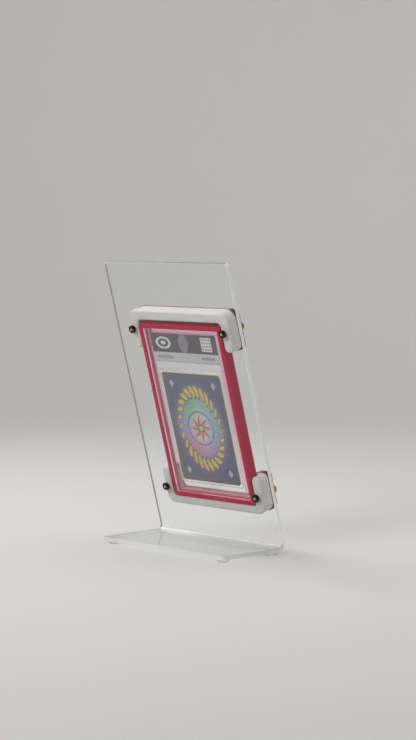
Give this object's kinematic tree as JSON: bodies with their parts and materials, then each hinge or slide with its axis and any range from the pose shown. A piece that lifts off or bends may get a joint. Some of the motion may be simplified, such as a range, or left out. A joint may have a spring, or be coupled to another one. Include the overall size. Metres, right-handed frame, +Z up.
{
  "type": "trading card display case",
  "caption": "Clear slant-back acrylic stand that holds a graded trading card in a bumper frame, clamped to its leaning panel by bolted U-shaped brackets.",
  "frame": {"origin": "centre of the footprint, at the level the feet stand on", "axes": "+Z up, display face towards -Y, base running back towards +Y, +X to the right seen from the front"},
  "size_m": [0.1326, 0.0724, 0.2187],
  "materials": {
    "clear_acrylic": "clear cast acrylic, polished",
    "clear_slab": "clear moulded polystyrene",
    "white_plastic": "satin white plastic with soft edges",
    "rose_gold": "mirror-backed acrylic, rose gold",
    "red_rubber": "satin red silicone",
    "gold_screw": "polished gold",
    "black_nut": "black oxide, satin",
    "clear_rubber": "clear soft rubber",
    "printed_card": "printed and varnished",
    "label_paper": "printed, with a pale strip"
  },
  "bodies": {
    "stand": {"acrylic_stand": "clear_acrylic", "foot_front_left": "clear_rubber", "foot_front_right": "clear_rubber", "foot_rear_left": "clear_rubber", "foot_rear_right": "clear_rubber"},
    "upper_clamp": {"upper_bracket": "white_plastic", "upper_trim_plate": "rose_gold", "upper_left_screw": "gold_screw", "upper_right_screw": "gold_screw"},
    "lower_clamp": {"lower_bracket": "white_plastic", "lower_trim_plate": "rose_gold", "lower_left_screw": "gold_screw", "lower_right_screw": "gold_screw"},
    "card_holder": {"slab_bumper": "red_rubber", "slab_back_shell": "clear_slab", "slab_front_shell": "clear_slab", "card_well": "clear_slab", "card": "printed_card", "label": "label_paper"},
    "upper_left_nut": {"upper_left_nut": "black_nut"},
    "upper_right_nut": {"upper_right_nut": "black_nut"},
    "lower_left_nut": {"lower_left_nut": "black_nut"},
    "lower_right_nut": {"lower_right_nut": "black_nut"}
  },
  "joints": [
    {"name": "upper_clamp_pull", "type": "slide", "parent": "stand", "child": "upper_clamp", "axis": [0, -0.9613, 0.2756], "range_m": [0, 0.03]},
    {"name": "lower_clamp_pull", "type": "slide", "parent": "stand", "child": "lower_clamp", "axis": [0, -0.9613, 0.2756], "range_m": [0, 0.03]},
    {"name": "card_holder_lift", "type": "slide", "parent": "stand", "child": "card_holder", "axis": [0, 0.2756, 0.9613], "range_m": [0, 0.0022]},
    {"name": "upper_left_nut_turn", "type": "hinge", "parent": "stand", "child": "upper_left_nut", "pos_m": [-0.04895, 0.02059, 0.16616], "axis": [0, -0.9613, 0.2756], "continuous": true},
    {"name": "upper_right_nut_turn", "type": "hinge", "parent": "stand", "child": "upper_right_nut", "pos_m": [0.04895, 0.02059, 0.16616], "axis": [0, -0.9613, 0.2756], "continuous": true},
    {"name": "lower_left_nut_turn", "type": "hinge", "parent": "stand", "child": "lower_left_nut", "pos_m": [-0.04895, -0.01513, 0.04158], "axis": [0, -0.9613, 0.2756], "continuous": true},
    {"name": "lower_right_nut_turn", "type": "hinge", "parent": "stand", "child": "lower_right_nut", "pos_m": [0.04895, -0.01513, 0.04158], "axis": [0, -0.9613, 0.2756], "continuous": true}
  ]
}
